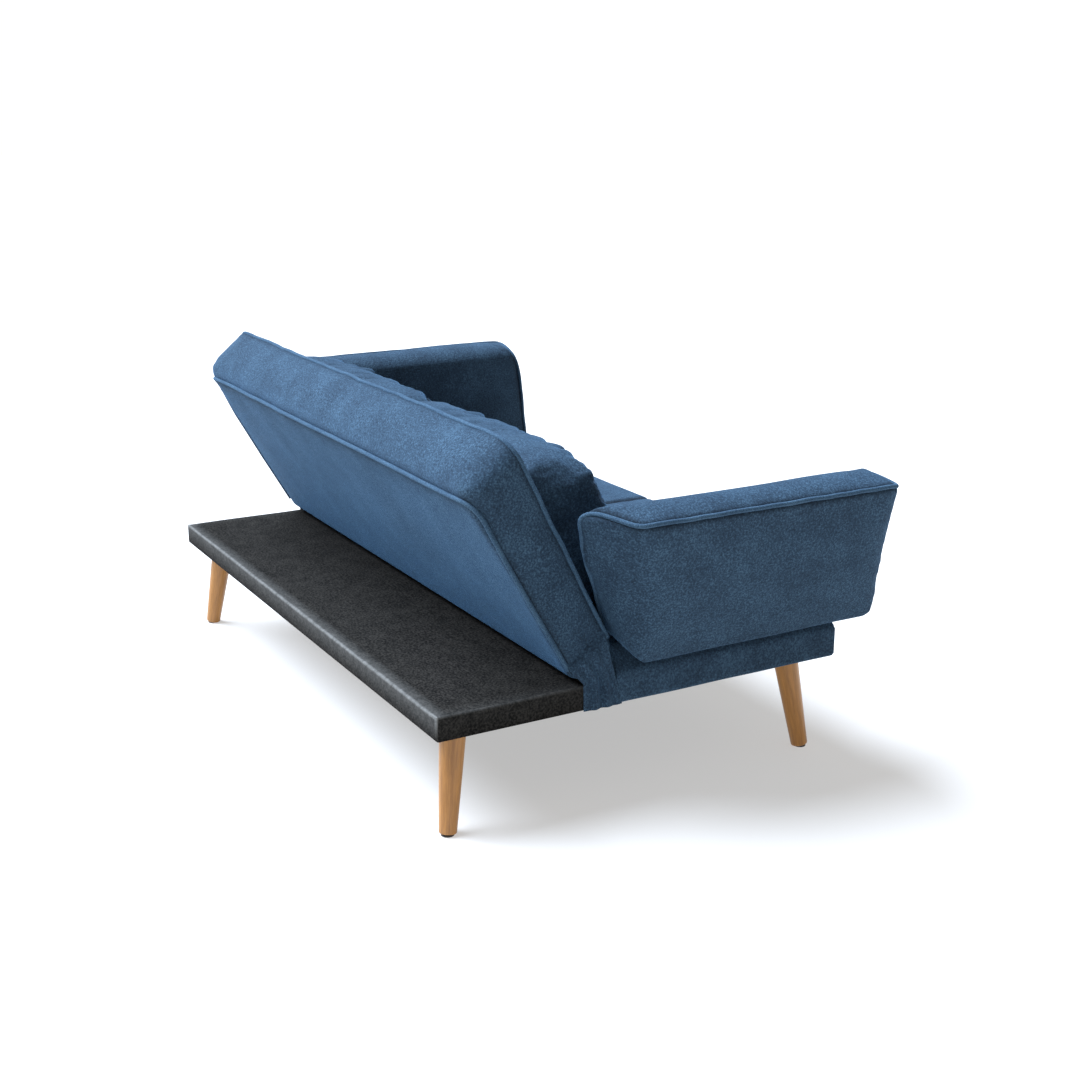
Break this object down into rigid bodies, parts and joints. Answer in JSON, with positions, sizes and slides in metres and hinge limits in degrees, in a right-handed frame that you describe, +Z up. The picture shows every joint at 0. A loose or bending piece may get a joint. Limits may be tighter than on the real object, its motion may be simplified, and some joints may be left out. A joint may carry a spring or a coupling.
{
  "type": "futon sofa bed",
  "caption": "Low click-clack sofa bed in blue fabric: reclining back over a black rear shelf, tilting box arms, loose back cushions and splayed tapered wooden legs.",
  "frame": {"origin": "on the floor, under the middle of the base", "axes": "+X to the sitter's left, +Y to the rear, +Z up"},
  "size_m": [1.8178, 1.0656, 0.8293],
  "materials": {
    "blue_upholstery": "velvet-like woven upholstery, mottled denim blue",
    "black_felt": "needle-punched non-woven felt, black",
    "foam": "polyurethane foam and fibre filling",
    "webbing": "elastic webbing",
    "natural_beech": "clear satin lacquer on natural beech",
    "frame_timber": "bare pine and plywood",
    "hinge_steel": "black powder coat",
    "zinc_fasteners": "zinc plate",
    "black_glide": "moulded polyethylene"
  },
  "bodies": {
    "base": {"arm_hinge_brackets_left": "hinge_steel", "arm_hinge_brackets_right": "hinge_steel", "arm_hinge_pins_left": "hinge_steel", "arm_hinge_pins_right": "hinge_steel", "back_hinge_fixed_left": "hinge_steel", "back_hinge_fixed_right": "hinge_steel", "back_hinge_pins": "hinge_steel", "centre_rails": "frame_timber", "corner_blocks": "frame_timber", "dust_cover": "black_felt", "floor_glides": "black_glide", "front_rail": "frame_timber", "hanger_bolts": "zinc_fasteners", "hinge_flap_left": "blue_upholstery", "hinge_flap_right": "blue_upholstery", "hinge_foot_screws": "zinc_fasteners", "leg_front_left": "natural_beech", "leg_front_right": "natural_beech", "leg_plates": "hinge_steel", "leg_rear_left": "natural_beech", "leg_rear_right": "natural_beech", "plate_screws": "zinc_fasteners", "rear_rail": "frame_timber", "seat_band": "blue_upholstery", "seat_cover": "blue_upholstery", "seat_foam": "foam", "seat_rear_rail": "frame_timber", "seat_slats": "frame_timber", "shelf_board": "frame_timber", "shelf_felt": "black_felt", "shelf_rail": "frame_timber", "side_rails": "frame_timber", "side_shoulder_left": "blue_upholstery", "side_shoulder_right": "blue_upholstery"},
    "backrest": {"back_cover": "blue_upholstery", "back_end_blocks": "frame_timber", "back_foam": "foam", "back_hinge_bolts": "hinge_steel", "back_hinge_moving_left": "hinge_steel", "back_hinge_moving_right": "hinge_steel", "back_hinge_pawl_left": "hinge_steel", "back_hinge_pawl_right": "hinge_steel", "back_piping": "blue_upholstery", "back_rails": "frame_timber", "back_stiles": "frame_timber", "back_webbing": "webbing"},
    "arm_left": {"arm_board_left": "frame_timber", "arm_cover_left": "blue_upholstery", "arm_foam_left": "foam", "arm_hinge_leaves_left": "hinge_steel", "arm_piping_left": "blue_upholstery"},
    "arm_right": {"arm_board_right": "frame_timber", "arm_cover_right": "blue_upholstery", "arm_foam_right": "foam", "arm_hinge_leaves_right": "hinge_steel", "arm_piping_right": "blue_upholstery"},
    "cushion_left": {"cushion_cover_left": "blue_upholstery", "cushion_fill_left": "foam"},
    "cushion_right": {"cushion_cover_right": "blue_upholstery", "cushion_fill_right": "foam"}
  },
  "joints": [
    {"name": "backrest_recline", "type": "hinge", "parent": "base", "child": "backrest", "pos_m": [0, 0.172, 0.353], "axis": [-1, 0, 0], "range_deg": [0, 60.2]},
    {"name": "arm_left_tilt", "type": "hinge", "parent": "base", "child": "arm_left", "pos_m": [0.737, 0, 0.361], "axis": [0, 1, 0], "range_deg": [0, 43]},
    {"name": "arm_right_tilt", "type": "hinge", "parent": "base", "child": "arm_right", "pos_m": [-0.737, 0, 0.361], "axis": [0, -1, 0], "range_deg": [-18, 25]},
    {"name": "cushion_left_lift", "type": "slide", "parent": "backrest", "child": "cushion_left", "axis": [0, -0.8678, 0.497], "range_m": [0, 0.4]},
    {"name": "cushion_right_lift", "type": "slide", "parent": "backrest", "child": "cushion_right", "axis": [0, -0.8678, 0.497], "range_m": [0, 0.4]}
  ]
}
